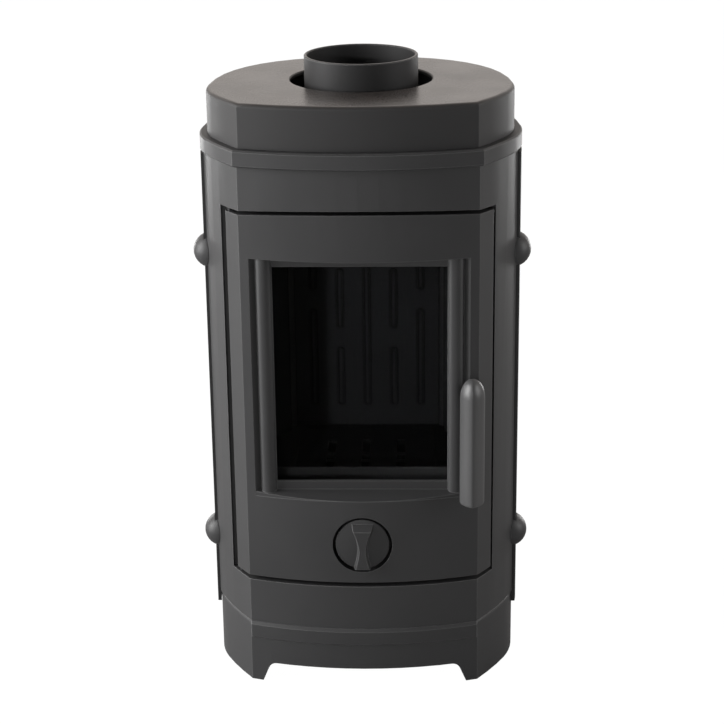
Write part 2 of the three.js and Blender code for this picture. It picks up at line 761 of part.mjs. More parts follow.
function rearCasting() {
  const edge = rearSeamX - seatGap / 2;
  const zone = block(-edge, edge, 0, far, 0, far);
  const lapZone = block(-edge - lapReach, edge + lapReach, rearDepth / 2, far, 0, far);
  const lapTop = bandBottom - 2.4 * sideTopDrop - seatGap;
  const skin = wall(sideOut, sideWall, bodyBottom, bandBottom - sideTopDrop).intersect(zone);
  const backing = wall(sideOut - sideWall + 0.5, sideWall + 0.5, bodyBottom, bandBottom - sideTopDrop)
    .intersect(zone);
  const lap = wall(rearLapFace, lapWall, bodyBottom + flangeThickness + seatGap, lapTop).intersect(lapZone);
  const riser = wall(frontOut, 8, bandBottom - 3 * sideTopDrop, bodyTop).intersect(zone);
  const flanges = join(
    wall(frontOut - 1, flangeReach, bodyBottom, bodyBottom + flangeThickness),
    wall(frontOut - 1, flangeReach, bodyTop - flangeThickness, bodyTop),
  ).intersect(zone);
  return cut(join(skin, backing, lap, riser, flanges), rearBoltHoles());
}

function bodyTopPlate() {
  const rim = planStack([
    [bandOut - bandChamfer, bandBottom],
    [bandOut, bandBottom + bandChamfer],
    [bandOut, bandTop - bandChamfer],
    [bandOut - bandChamfer, bandTop],
  ]);
  const under = prism(frontOut + seatGap, bandBottom - 1, bandTop - topPlateThickness);
  return cut(rim, under, rodZ(0, flueCentreY, fluePlateHoleRadius, 0, far, 48), ...flueBoltPlaces()
    .map(([x, y]) => rodZ(x, y, 3 + shaftGap, 0, far, 12)));
}

function flueBoltPlaces() {
  return flueBoltTurns.map((degrees) => {
    const turn = THREE.MathUtils.degToRad(degrees);
    return [flueBoltCircle * Math.cos(turn), flueCentreY + flueBoltCircle * Math.sin(turn)];
  });
}

function topCover() {
  const bottom = bandTop + seatGap;
  const levels = [[0, bottom], [0, capTop - capEdgeRadius]];
  const roundSteps = 4;
  for (let i = 1; i <= roundSteps; i++) {
    const turn = Math.PI / 2 * i / roundSteps;
    levels.push([capEdgeRadius * (Math.cos(turn) - 1), capTop - capEdgeRadius * (1 - Math.sin(turn))]);
  }
  const hole = revolveZ([
    [0, 0],
    [flueHoleRadius, 0],
    [flueHoleRadius, capTop - 1.5],
    [flueHoleRadius + 1.5, capTop + 0.01],
    [flueHoleRadius + 1.5, capTop + 10],
    [0, capTop + 10],
  ], 0, flueCentreY, 48);
  return cut(planStack(levels), prism(-capWall, bottom - 1, capTop - capWall), hole);
}

function flueCollar() {
  const bottom = bandTop + seatGap;
  const inner = flueOuterRadius - flueWall;
  const top = flueTop;
  const tube = revolveZ([
    [inner, bottom],
    [flueFlangeRadius, bottom],
    [flueFlangeRadius, bottom + flueFlangeThickness],
    [flueOuterRadius, bottom + flueFlangeThickness],
    [flueOuterRadius, top - 1],
    [flueOuterRadius - 1, top],
    [inner + 1, top],
    [inner, top - 1],
    [inner, bottom],
  ], 0, flueCentreY, 48);
  return cut(tube, ...flueBoltPlaces().map(([x, y]) => rodZ(x, y, 3 + shaftGap, 0, far, 12)));
}

// bolt and nut, drawn tight
function flueBolt([x, y]) {
  const seat = bandTop + seatGap + flueFlangeThickness;
  const under = bandTop - topPlateThickness;
  return join(
    rodZ(x, y, 3, under - seatGap - 6, seat + seatGap + 1, 12),
    hexPrismZ(x, y, 6, seat + seatGap, seat + seatGap + 4),
    hexPrismZ(x, y, 6, under - seatGap - 5, under - seatGap));
}

// a domed cap seated over the seam on the right-hand side, with its stud
function domeCap(z) {
  const sphere = new THREE.SphereGeometry(domeRadius, 24, 14);
  sphere.rotateZ(-Math.PI / 2);
  sphere.translate(domeX, domeY, z);
  const [low, high] = [z - 2 * domeRadius, z + 2 * domeRadius];
  const onSide = prism(sideOut + seatGap, low, high).intersect(block(0, far, seamY, far, low, high));
  const onFront = prism(frontOut + seatGap, low, high).intersect(block(0, far, -far, seamY, low, high));
  const cap = cut(solidOf(sphere), onSide, onFront, rearEdge(seatGap, false, seamY, low, high));
  const stud = domeRod(domeStudRadius, domeNutFaceX() - domeNutThickness - 2, domeX + domeRadius * 0.6, z);
  return join(cap, stud);
}

// the nut's flat face touches the side casting's backing where that comes furthest in
const domeNutFaceX = () => planCrossing(domeY - domeNutRadius, sideOut - sideWall - backingWall) - seatGap;

function domeNut(z) {
  const face = domeNutFaceX();
  return cut(domeRod(domeNutRadius, face - domeNutThickness, face, z, 6),
    domeRod(domeStudRadius + shaftGap, 0, halfWidth * 2, z));
}

// ---------------------------------------------------------------- hearth and ash box

function ashBox() {
  const front = stopRearY + seatGap;
  const rear = panFrontY + panDepth;
  const under = hearthUnder - seatGap;
  const outline = shapeOf([
    [-cheekHalfWidth, bodyBottom],
    [-cheekHalfWidth + cheekThickness, bodyBottom],
    [-cheekHalfWidth + cheekThickness, shelfTop - shelfThickness],
    [cheekHalfWidth - cheekThickness, shelfTop - shelfThickness],
    [cheekHalfWidth - cheekThickness, bodyBottom],
    [cheekHalfWidth, bodyBottom],
    [cheekHalfWidth, under],
    [cheekHalfWidth - cheekThickness, under],
    [cheekHalfWidth - cheekThickness, shelfTop],
    [-cheekHalfWidth + cheekThickness, shelfTop],
    [-cheekHalfWidth + cheekThickness, under],
    [-cheekHalfWidth, under],
  ]);
  const flangeSlot = wall(frontOut, flangeReach + frontOut + 1, bodyBottom - 1,
    bodyBottom + flangeThickness + 1);
  return cut(plateY(outline, front, rear), flangeSlot);
}

function ashPan() {
  const bottom = shelfTop + seatGap;
  const top = bottom + panHeight;
  const rear = panFrontY + panDepth;
  const tub = cut(
    block(-panHalfWidth, panHalfWidth, panFrontY, rear, bottom, top),
    block(-panHalfWidth + panWall, panHalfWidth - panWall, panFrontY + panWall, rear - panWall,
      bottom + panWall, far));
  const pull = shapeOf([
    [panFrontY + 0.5, top - 2],
    [panFrontY + 0.5, top],
    [panFrontY - 4, top],
    [panFrontY - 4, top - 10],
    [panFrontY - 2, top - 10],
    [panFrontY - 2, top - 2],
  ]);
  return join(tub, plateX(pull, -30, 30));
}

function hearthFloor() {
  const front = stopRearY + seatGap;
  const plate = prism(-hearthInset, hearthUnder, hearthTop).intersect(block(-far, far, front, far, 0, far));
  const seatZ = hearthTop - grateThickness + 2;
  return cut(
    plate,
    block(-grateHalfWidth - seatGap, grateHalfWidth + seatGap, grateFrontY - seatGap, grateRearY + seatGap,
      seatZ - seatGap, far),
    block(-grateHalfWidth + grateLedge, grateHalfWidth - grateLedge, grateFrontY + grateLedge,
      grateRearY - grateLedge, 0, far));
}

function fireGrate() {
  const bottom = hearthTop - grateThickness + 2;
  const plate = block(-grateHalfWidth, grateHalfWidth, grateFrontY, grateRearY, bottom, hearthTop);
  const slots = [];
  const columns = Math.floor(2 * (grateHalfWidth - grateLedge) / grateSlotPitch);
  const rowPitch = grateSlotLength + 12;
  const rows = Math.floor((grateRearY - grateFrontY - 2 * grateLedge) / rowPitch);
  const middleY = (grateFrontY + grateRearY) / 2;
  for (let column = 0; column < columns; column++) {
    for (let row = 0; row < rows; row++) {
      const x = (column - (columns - 1) / 2) * grateSlotPitch;
      const y = middleY + (row - (rows - 1) / 2) * rowPitch;
      slots.push(block(x - grateSlotWidth / 2, x + grateSlotWidth / 2, y - grateSlotLength / 2,
        y + grateSlotLength / 2, 0, far));
    }
  }
  return cut(plate, ...slots);
}

// the plate's two rear edges touch the rear casting's inner wall
const rearPlateY = rearCrossing(rearPlateHalfWidth, rearLapFace - lapWall) - seatGap
  - rearPlateThickness;

// each rib stands out as a raised outline with round ends
function rearHearthPlate() {
  const rearFace = rearPlateY + rearPlateThickness;
  const plate = block(-rearPlateHalfWidth, rearPlateHalfWidth, rearPlateY, rearFace, liningBottom, liningTop);
  const low = liningBottom + ribBottom;
  const high = liningBottom + ribTop;
  const innerHigh = liningBottom + innerRibTop;
  const innerBreak = liningBottom + innerRibBreak;
  const outerBreak = liningBottom + outerRibBreak;
  const ribs = [];
  const addRib = (x, z0, z1) => {
    const shape = stadium(x, z0, z1, ribWidth / 2);
    shape.holes.push(stadium(x, z0 + ribLine, z1 - ribLine, ribWidth / 2 - ribLine, true));
    ribs.push(plateY(shape, rearPlateY - ribRise, rearPlateY + 0.5, 3));
  };
  addRib(0, low, high);
  for (const side of [-1, 1]) {
    addRib(side * ribPitch, low, innerBreak - ribBreakHalf);
    addRib(side * ribPitch, innerBreak + ribBreakHalf, innerHigh);
    addRib(side * ribPitch * 2, low, outerBreak - ribBreakHalf);
    addRib(side * ribPitch * 2, outerBreak + ribBreakHalf, high);
  }
  return join(plate, ...ribs);
}

function rightHearthPlate() {
  const front = latchFaceY + latchThickness + liningLatchGap;
  const zone = block(0, far, front, rearPlateY - liningRearGap, 0, far);
  return wall(-liningInset, liningThickness, liningBottom, liningTop).intersect(zone);
}

function logGuard() {
  const rear = stopRearY + seatGap + guardThickness + 1;
  const front = rear - guardThickness;
  const top = liningBottom + guardHeight;
  const outline = shapeOf([
    [front, liningBottom],
    [rear, liningBottom],
    [rear, top - guardLip],
    [rear - 0.5, top - 1],
    [rear - 1.5, top],
    [front + 1, top],
    [front, top - 1],
  ]);
  return plateX(outline, -guardHalfWidth, guardHalfWidth);
}

function bafflePlate() {
  const bottom = liningTop + seatGap;
  return prism(-hearthInset, bottom, bottom + baffleThickness)
    .intersect(block(-far, far, baffleFrontY, far, 0, far));
}

// ---------------------------------------------------------------- door

function doorCasting() {
  const outline = archedBlock(-doorHalfWidth, doorHalfWidth, -far, stopPlaneY, doorBottom, doorTop);
  const skin = wall(doorOut, doorWall, doorBottom, doorTop).intersect(outline);
  const inside = prism(doorOut - 1, doorBottom, doorTop).intersect(outline);
  const rimX = doorHalfWidth - rimInset;
  const rimReach = rimInset + rimWall - ropeInset;
  const rim = cut(
    archedBlock(-rimX, rimX, -far, rimRearY, doorBottom + rimInset, doorTop - rimInset),
    block(-landHalfWidth - 0.5, landHalfWidth + 0.5, -far, far, ropeBottom + rimReach, ropeTop - rimReach),
  ).intersect(inside);
  const barrel = rodZ(hingeAxisX, hingeAxisY, hingeBarrelRadius, doorBottom, doorTop)
    .intersect(outline).intersect(block(-far, far, -far, rimRearY, 0, far));
  const box = block(-windowHalfWidth - recessWall, windowHalfWidth + recessWall, -far, flangeRearY,
    windowBottom - recessWall, windowTop + recessWall).intersect(inside);
  const recess = windowRecess();
  const glassHole = block(-glassHalfOpening, glassHalfOpening, -far, far, glassBottom, glassTop);
  const sillFront = faceY(0, doorOut);
  const sill = plateX(shapeOf([
    [sillFront, windowBottom - recessWall],
    [flangeFaceY + 0.5, windowBottom - recessWall],
    [flangeFaceY + 0.5, windowBottom + sillRise],
    [sillFront, windowBottom],
  ]), -windowHalfWidth - 0.5, windowHalfWidth + 0.5).intersect(prism(doorOut - 0.3, doorBottom, doorTop));
  const face = -faceY(0, doorOut);
  const cup = rodY(0, knobZ, knobHoleRadius + cupWall, -face, -face + cupDepth + cupWall, 40)
    .intersect(inside);
  const cupHollow = rodY(0, knobZ, knobHoleRadius, -far, -face + cupDepth, 40);
  const spindleBoss = spindleAt(-far, rimRearY, spindleBossRadius).intersect(inside);
  const frame = cut(join(skin, rim, barrel, box, cup, spindleBoss), recess, glassHole, cupHollow);
  const columns = join(jambColumn(1), jambColumn(-1));
  const pinHoles = join(
    rodZ(hingeAxisX, hingeAxisY, hingePinRadius + shaftGap, hingeDoorTop - hingePinLength / 2, far),
    rodZ(hingeAxisX, hingeAxisY, hingePinRadius + shaftGap, 0, doorBottom + hingePinLength / 2));
  return cut(join(frame, sill, columns, ...clipBosses()), pinHoles,
    spindleAt(-far, 0, spindleRadius + shaftGap), rodY(0, knobZ, airSpindleRadius + shaftGap, -far, 0),
    ...airPassages(), ...clipScrewHoles());
}

// the recess is splayed: its sides close in from the door's face to the flange
function windowRecess() {
  const mouthY = faceY(windowHalfWidth, doorOut);
  const inner = windowHalfWidth - windowSplay;
  return plateZ([
    [-inner, flangeFaceY],
    [-windowHalfWidth, mouthY],
    [-windowHalfWidth, -far],
    [windowHalfWidth, -far],
    [windowHalfWidth, mouthY],
    [inner, flangeFaceY],
  ], windowBottom, windowTop);
}

// half-round column between the recess and the glass opening
function jambColumn(side) {
  const radius = columnWidth / 2;
  const shape = new THREE.CylinderGeometry(radius, radius, windowTop - windowBottom + 1, 18);
  shape.rotateX(Math.PI / 2);
  shape.scale(1, columnDepthShare, 1);
  const middleZ = (windowTop + windowBottom) / 2;
  shape.translate(side * (glassHalfOpening + radius + 0.5), flangeFaceY + 0.2, middleZ);
  return solidOf(shape).intersect(block(-far, far, -far, flangeFaceY + 1, windowBottom - 1, windowTop + 0.5));
}

function airPassages() {
  const holes = [];
  for (let i = 0; i < airHoles; i++) {
    const turn = Math.PI / 2 + 2 * Math.PI * i / airHoles;
    holes.push(rodY(airHoleCircle * Math.cos(turn), knobZ + airHoleCircle * Math.sin(turn), airHoleRadius,
      -far, 0, 18));
  }
  return holes;
}

const glassZ = [glassBottom - glassMargin, glassTop + glassMargin];
const glassHalfWidth = glassHalfOpening + glassMargin;
const clipBossRadius = 5;
const clipBossX = glassHalfWidth + seatGap + clipBossRadius + 0.5;

const clipHeights = [glassZ[0] + clipInset, glassZ[1] - clipInset];
const clipPlaces = [1, -1].flatMap((side) => clipHeights.map((z) => [side, z]));

const clipBosses = () => clipPlaces.map(([side, z]) =>
  rodY(side * clipBossX, z, clipBossRadius, flangeRearY - 1, glassRearY, 12));

const clipScrewHoles = () => clipPlaces.map(([side, z]) =>
  rodY(side * clipBossX, z, clipScrewRadius + shaftGap, flangeRearY + 1, 0, 12));

// the strip that holds the right-hand edge of the glass
function rightGlassClip() {
  const y0 = glassRearY + seatGap;
  const strip = block(glassHalfWidth - clipOverlap, clipBossX + clipBossRadius, y0, y0 + clipThickness,
    clipHeights[0] - clipEnd, clipHeights[1] + clipEnd);
  return cut(strip, ...clipHeights.map((z) => rodY(clipBossX, z, clipScrewRadius + shaftGap, -far, 0, 12)));
}

function clipScrew(side, z) {
  const headY = glassRearY + 2 * seatGap + clipThickness;
  return join(
    rodY(side * clipBossX, z, clipScrewRadius, flangeRearY + 1 + seatGap, headY + 0.5, 12),
    rodY(side * clipBossX, z, clipScrewRadius * 1.9, headY, headY + 3, 12));
}

const doorGlass = () => block(-glassHalfWidth, glassHalfWidth, glassFrontY, glassRearY, glassZ[0], glassZ[1]);

function glassGasket() {
  const inner = glassHalfWidth - glassGasketWidth;
  return ringY(glassHalfWidth, inner, glassZ, [glassZ[0] + glassGasketWidth, glassZ[1] - glassGasketWidth],
    flangeRearY + seatGap, flangeRearY + seatGap + glassGasketThickness);
}

function doorRope() {
  return ringY(ropeHalfWidth, ropeHalfWidth - ropeWidth, [ropeBottom, ropeTop],
    [ropeBottom + ropeWidth, ropeTop - ropeWidth], rimRearY + seatGap, rimRearY + seatGap + ropeThickness);
}

const upperHingePin = () => rodZ(hingeAxisX, hingeAxisY, hingePinRadius,
  hingeDoorTop - hingePinLength / 2 + 1, hingeOpeningTop + hingeLugHeight - 1);
const lowerHingePin = () => rodZ(hingeAxisX, hingeAxisY, hingePinRadius, openingBottom - hingeLugHeight + 1,
  doorBottom + hingePinLength / 2 - 1);

// ---------------------------------------------------------------- handle and latch

const doorFaceAtSpindle = faceY(spindleX, doorOut);
const handleBackY = doorFaceAtSpindle - handleStandoff;

// upright bar with a flat back, ridged front, domed top and flat bottom
function handleBar() {
  const bottom = spindleZ + handleAboveSpindle - handleLength;
  const top = bottom + handleLength;
  const levels = [[0.93, bottom], [1, bottom + 2.5], [1, top - handleDomeLength]];
  const domeSteps = 8;
  const lastTurn = Math.PI / 2 * 0.97;
  for (let i = 1; i <= domeSteps; i++) {
    const turn = lastTurn * i / domeSteps;
    levels.push([Math.cos(turn), top - handleDomeLength * (1 - Math.sin(turn) / Math.sin(lastTurn))]);
  }
  const around = 28;
  const power = (value) => Math.sign(value) * Math.abs(value) ** (2 / handleRidge);
  const section = [];
  for (let i = 0; i < around; i++) {
    const turn = 2 * Math.PI * i / around;
    const [across, out] = [Math.cos(turn), Math.sin(turn)];
    section.push(out < -1e-9 ? [power(across), power(out)] : [across, 0.42 * out]);
  }
  const middleY = handleBackY - handleDepth * 0.3;
  const bar = loft(levels.map(([scale, z]) => section.map(([across, out]) =>
    [spindleX + across * scale * handleWidth / 2, middleY + out * scale * handleDepth * 0.7, z])),
  ([x, y]) => [x, y]);
  const neck = rodY(spindleX, spindleZ, handleNeckRadius, middleY, doorFaceAtSpindle - 6);
  return cut(join(bar, neck), spindleAt(middleY - 2, 0, spindleRadius + shaftGap));
}

const latchFaceY = stopRearY + strikeThickness + 2 * seatGap;

const handleSpindle = () => rodY(spindleX, spindleZ, spindleRadius, handleBackY - handleDepth * 0.3 - 1,
  latchFaceY + latchThickness + nutThickness + 2);

// the tongue hangs with the handle, clear of the stop frame, and turns behind the strike plate
function latchCam() {
  const [left, right] = [spindleX - latchHalfWidth, spindleX + latchHalfWidth];
  const tip = spindleZ - latchReach;
  const shape = new THREE.Shape();
  shape.moveTo(left, spindleZ);
  shape.lineTo(left, tip + latchCorner);
  shape.lineTo(left + latchCorner, tip);
  shape.lineTo(right - latchCorner, tip);
  shape.lineTo(right, tip + latchCorner);
  shape.lineTo(right, spindleZ);
  shape.absarc(spindleX, spindleZ, latchHalfWidth, 0, Math.PI, false);
  return cut(plateY(shape, latchFaceY, latchFaceY + latchThickness, 6),
    spindleAt(-far, far, spindleRadius + shaftGap));
}

function ringNutY(x, z, inner, outer, y0, y1) {
  return cut(hexPrismY(x, z, outer, y0, y1), rodY(x, z, inner, y0 - 1, y1 + 1, 24));
}

const latchNut = () => ringNutY(spindleX, spindleZ, spindleRadius + shaftGap, nutRadius,
  latchFaceY + latchThickness + seatGap, latchFaceY + latchThickness + seatGap + nutThickness);

function strikePlate() {
  const outer = ropeHalfWidth + 4;
  return block(landHalfWidth + 1, outer, stopRearY + seatGap, stopRearY + seatGap + strikeThickness,
    spindleZ - strikeHalfHeight, spindleZ + strikeHalfHeight);
}

// ---------------------------------------------------------------- air control

const knobFaceY = faceY(0, doorOut);
const shutterFrontY = knobFaceY + cupDepth - seatGap - shutterThickness;

// the grip's outline, narrowest at the waist; spread widens it all round
function gripOutline(spread, top, y) {
  const waist = -gripWaistBelow;
  const bottom = -knobRadius + gripBottomInset + gripFootSpread - spread;
  const steps = 5;
  const right = [];
  for (const [end, half] of [[bottom, gripTailHalfWidth], [top, gripHeadHalfWidth]]) {
    for (let i = 0; i <= steps; i++) {
      const share = end === bottom ? 1 - i / steps : i / steps;
      if (end === top && i === 0) continue;
      right.push([gripWaistHalfWidth + spread + (half - gripWaistHalfWidth) * share ** 1.5,
        waist + (end - waist) * share]);
    }
  }
  return [...right, ...right.map(([x, z]) => [-x, z]).reverse()].map(([x, z]) => [x, y, knobZ + z]);
}

function airKnob() {
  const back = knobFaceY + knobThickness;
  const rim = knobFaceY + knobDome;
  const steps = 5;
  const profile = [[0, back], [knobRadius, back], [knobRadius, rim + 2], [knobRadius - 0.6, rim + 0.7]];
  for (let i = 0; i <= steps; i++) {
    const share = 1 - i / steps;
    profile.push([(knobRadius - 2) * share, rim - knobDome * (1 - share * share)]);
  }
  const disc = revolveY(profile.reverse(), 0, knobZ, 40);
  const gripTop = knobRadius - gripTopInset;
  const grip = loft([
    gripOutline(gripFootSpread, gripTop, back - 1),
    gripOutline(gripFootSpread, gripTop, rim),
    gripOutline(gripFootSpread * 0.15, gripTop - gripTopSlope * 0.9, knobFaceY - gripHeight + 1),
    gripOutline(-gripFootSpread * 0.15, gripTop - gripTopSlope, knobFaceY - gripHeight),
  ], ([x, , z]) => [x, z]);
  const hub = rodY(0, knobZ, airSpindleRadius * 2, knobFaceY + knobThickness - 1, shutterFrontY - seatGap);
  const bore = rodY(0, knobZ, airSpindleRadius + shaftGap, knobFaceY + 2, 0);
  return cut(join(disc, grip, hub), bore);
}

const airSpindle = () => rodY(0, knobZ, airSpindleRadius, knobFaceY + 2 + seatGap,
  knobFaceY + cupDepth + cupWall + nutThickness + 3);

function airShutter() {
  const disc = rodY(0, knobZ, shutterRadius, shutterFrontY, shutterFrontY + shutterThickness, 36);
  const closedTurn = Math.PI / airHoles;
  const holes = [];
  for (let i = 0; i < airHoles; i++) {
    const turn = Math.PI / 2 + closedTurn + 2 * Math.PI * i / airHoles;
    holes.push(rodY(airHoleCircle * Math.cos(turn), knobZ + airHoleCircle * Math.sin(turn), airHoleRadius,
      -far, 0, 18));
  }
  return cut(disc, ...holes, rodY(0, knobZ, airSpindleRadius + shaftGap, -far, 0));
}

const airNut = () => ringNutY(0, knobZ, airSpindleRadius + shaftGap, nutRadius,
  knobFaceY + cupDepth + cupWall + seatGap, knobFaceY + cupDepth + cupWall + seatGap + nutThickness);

// ---------------------------------------------------------------- assembly

const paint = (color, roughness = 0.55, metalness = 0.3) =>
  new THREE.MeshStandardMaterial({ color, roughness, metalness });

const castIron = paint(0x3c3c3e);
const capIron = paint(0x6b6460, 0.6);
const blackIron = paint(0x2c2c2d, 0.75);
const lining = paint(0x37383a, 0.85);
const steel = paint(0x8d8f92, 0.4, 0.9);
const handlePaint = paint(0x55585a, 0.5);
const ceramicRope = paint(0xc9c4b8, 0.95, 0);
const clearGlass = paint(0x101112, 0.05, 0);

const stove = new THREE.Group();

function add(name, solid, material) {
  const mesh = new THREE.Mesh(geometryOf(solid), material);
  mesh.name = name;
  stove.add(mesh);
}

function addAll(entries, material) {
  for (const [name, solid] of entries) add(name, solid, material);
}

const rightSide = rightSideCasting();
const rightLining = rightHearthPlate();

addAll([
  ['base_plinth', basePlinth()],
  ['front_casting', frontCasting()],
  ['right_side_casting', rightSide],
  ['left_side_casting', mirrorX(rightSide)],
  ['rear_casting', rearCasting()],
  ['body_top_plate', bodyTopPlate()],
  ['door_casting', doorCasting()],
  ['air_knob', airKnob()],
], castIron);
add('top_cover', topCover(), capIron);
add('flue_collar', flueCollar(), castIron);
flueBoltPlaces().forEach((place, i) => add(`flue_bolt_${i + 1}`, flueBolt(place), steel));
rearBoltHeights.forEach((z, i) => {
  add(`rear_bolt_${i + 1}_right`, rearBolt(z, 1), steel);
  add(`rear_bolt_${i + 1}_left`, rearBolt(z, -1), steel);
});

const [upperDome, lowerDome] = domeHeights;
for (const [level, z] of [['upper', upperDome], ['lower', lowerDome]]) {
  const [cap, nut] = [domeCap(z), domeNut(z)];
  add(`dome_cap_${level}_right`, cap, castIron);
  add(`dome_cap_${level}_left`, mirrorX(cap), castIron);
  add(`dome_nut_${level}_right`, nut, steel);
  add(`dome_nut_${level}_left`, mirrorX(nut), steel);
}

addAll([
  ['ash_box', ashBox()],
  ['hearth_floor', hearthFloor()],
  ['fire_grate', fireGrate()],
  ['log_guard', logGuard()],
  ['baffle_plate', bafflePlate()],
], blackIron);
addAll([
  ['rear_hearth_plate', rearHearthPlate()],
  ['right_hearth_plate', rightLining],
  ['left_hearth_plate', mirrorX(rightLining)],
], lining);
add('ash_pan', ashPan(), blackIron);

add('door_glass', doorGlass(), clearGlass);
add('glass_gasket', glassGasket(), ceramicRope);
const rightClip = rightGlassClip();
add('glass_clip_right', rightClip, steel);
add('glass_clip_left', mirrorX(rightClip), steel);
clipPlaces.forEach(([side, z], i) => add(`clip_screw_${i + 1}`, clipScrew(side, z), steel));
add('door_rope', doorRope(), ceramicRope);
add('hinge_pin_upper', upperHingePin(), steel);
add('hinge_pin_lower', lowerHingePin(), steel);

add('handle_bar', handleBar(), handlePaint);
add('handle_spindle', handleSpindle(), steel);
add('latch_cam', latchCam(), steel);
add('latch_nut', latchNut(), steel);
add('strike_plate', strikePlate(), steel);
add('air_spindle', airSpindle(), steel);
add('air_shutter', airShutter(), blackIron);
add('air_nut', airNut(), steel);

// the origin is the middle of the footprint: back of the moulding band to the handle's front
const rearmost = rearDepth + bandOut;
const foremost = handleBackY - handleDepth;
stove.position.y = -(rearmost + foremost) / 2;

export default stove;
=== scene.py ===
import json
import math

import bpy
from mathutils import Matrix, Vector


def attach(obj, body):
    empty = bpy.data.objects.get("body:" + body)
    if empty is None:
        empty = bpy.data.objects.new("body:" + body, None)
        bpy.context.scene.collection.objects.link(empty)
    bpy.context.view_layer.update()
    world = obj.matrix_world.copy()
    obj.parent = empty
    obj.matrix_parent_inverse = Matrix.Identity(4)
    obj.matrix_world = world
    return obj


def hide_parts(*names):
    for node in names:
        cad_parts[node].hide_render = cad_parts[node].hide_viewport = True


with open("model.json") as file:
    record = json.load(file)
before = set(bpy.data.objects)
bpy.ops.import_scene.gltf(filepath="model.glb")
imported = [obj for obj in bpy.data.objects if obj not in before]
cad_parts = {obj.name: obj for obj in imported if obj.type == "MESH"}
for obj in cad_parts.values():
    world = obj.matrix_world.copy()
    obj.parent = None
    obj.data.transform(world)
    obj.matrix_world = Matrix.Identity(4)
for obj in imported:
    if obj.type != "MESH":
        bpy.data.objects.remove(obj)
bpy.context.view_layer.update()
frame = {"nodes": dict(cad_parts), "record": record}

MM = 0.001
NODES = frame["nodes"]


# ---------------------------------------------------------------- small helpers for node trees

def feed(tree, socket, value):
    """Links a socket to another one's output, or sets its value."""
    if isinstance(value, bpy.types.NodeSocket):
        tree.links.new(value, socket)
    else:
        socket.default_value = value


def math_node(tree, operation, *values):
    node = tree.nodes.new("ShaderNodeMath")
    node.operation = operation
    for socket, value in zip(node.inputs, values):
        feed(tree, socket, value)
    return node.outputs[0]


def set_inputs(node, values):
    """Sets inputs by their names, written with _ for a space."""
    for name, value in values.items():
        node.inputs[name.replace("_", " ")].default_value = value
    return node


def node_in(tree, kind, **values):
    return set_inputs(tree.nodes.new(kind), values)


def group_in(tree, group, **values):
    node = tree.nodes.new("ShaderNodeGroup")
    node.node_tree = group
    return set_inputs(node, values)


def mixed_colours(tree, share, first, second):
    """From the first colour where share is 0 to the second where it is 1."""
    node = tree.nodes.new("ShaderNodeMix")
    node.data_type = "RGBA"
    tree.links.new(share, node.inputs["Factor"])
    for name, colour in (("A", first), ("B", second)):
        feed(tree, node.inputs[name], (*colour, 1) if isinstance(colour, tuple) else colour)
    return node.outputs["Result"]


def scaled_colour(tree, colour, scale):
    node = tree.nodes.new("ShaderNodeVectorMath")
    node.operation = "SCALE"
    feed(tree, node.inputs[0], colour)
    tree.links.new(scale, node.inputs["Scale"])
    return node.outputs[0]


def object_place(tree):
    return tree.nodes.new("ShaderNodeTexCoord").outputs["Object"]


def new_material(name):
    material = bpy.data.materials.new(name)
    material.use_nodes = True
    return material, material.node_tree, material.node_tree.nodes["Principled BSDF"]


# ---------------------------------------------------------------- view, light and floor

def make_camera():
    bpy.context.scene.view_settings.view_transform = "Standard"
    data = bpy.data.cameras.new("view_camera")
    data.lens = 98.0
    data.sensor_width = 36.0
    data.clip_start, data.clip_end = 0.1, 50.0
    camera = bpy.data.objects.new("view_camera", data)
    bpy.context.scene.collection.objects.link(camera)
    eye = (0.0824, -2.5502, 1.3077)
    yaw, pitch, roll = -0.0335, 0.33851, -0.01299
    forward = Vector((math.sin(yaw) * math.cos(pitch), math.cos(yaw) * math.cos(pitch), -math.sin(pitch)))
    level_right = Vector((math.cos(yaw), -math.sin(yaw), 0))
    level_up = level_right.cross(forward)
    right = level_right * math.cos(roll) + level_up * math.sin(roll)
    up = level_up * math.cos(roll) - level_right * math.sin(roll)
    turn = Matrix((right, up, -forward)).transposed().to_4x4()
    camera.matrix_world = Matrix.Translation(eye) @ turn
    bpy.context.scene.camera = camera


def soft_panel(name, place, target, width, height, power):
    data = bpy.data.lights.new(name, "AREA")
    data.shape = "RECTANGLE"
    data.size, data.size_y = width, height
    data.energy = power
    lamp = bpy.data.objects.new(name, data)
    bpy.context.scene.collection.objects.link(lamp)
    lamp.location = place
    lamp.rotation_euler = (Vector(target) - Vector(place)).to_track_quat("-Z", "Y").to_euler()
    return lamp


def make_lights():
    soft_panel("left_panel", (-3.25, -0.8, 1.3), (0, 0, 0.5), width=1.7, height=2.6, power=208)
    soft_panel("right_panel", (2.5, -0.6, 1.1), (0, 0, 0.5), width=1.2, height=1.6, power=28)
    for side in (-1, 1):
        soft_panel("rim_panel", (side * 1.75, 2.3, 0.4), (side * 0.2, 0, 0.4),
                   width=0.35, height=0.78, power=21)
    middle_height = 0.42
    turn, lift, reach = math.radians(12.4), math.radians(13), 4.2
    key_place = (-math.sin(turn) * math.cos(lift) * reach, -math.cos(turn) * math.cos(lift) * reach,
                 middle_height + math.sin(lift) * reach)
    key = soft_panel("front_key", key_place, (0, 0, middle_height), width=0.12, height=0.12, power=30)
    key.data.specular_factor = 0.35


def seen_directly(tree):
    """1 where the viewer looks straight at something or through the window, else 0."""
    path = tree.nodes.new("ShaderNodeLightPath")
    bounces = math_node(tree, "ADD", path.outputs["Diffuse Depth"], path.outputs["Glossy Depth"])
    no_bounce = math_node(tree, "LESS_THAN", bounces, 0.5)
    through_glass = math_node(tree, "MULTIPLY", path.outputs["Is Transmission Ray"], no_bounce)
    return math_node(tree, "MAXIMUM", path.outputs["Is Camera Ray"], through_glass)


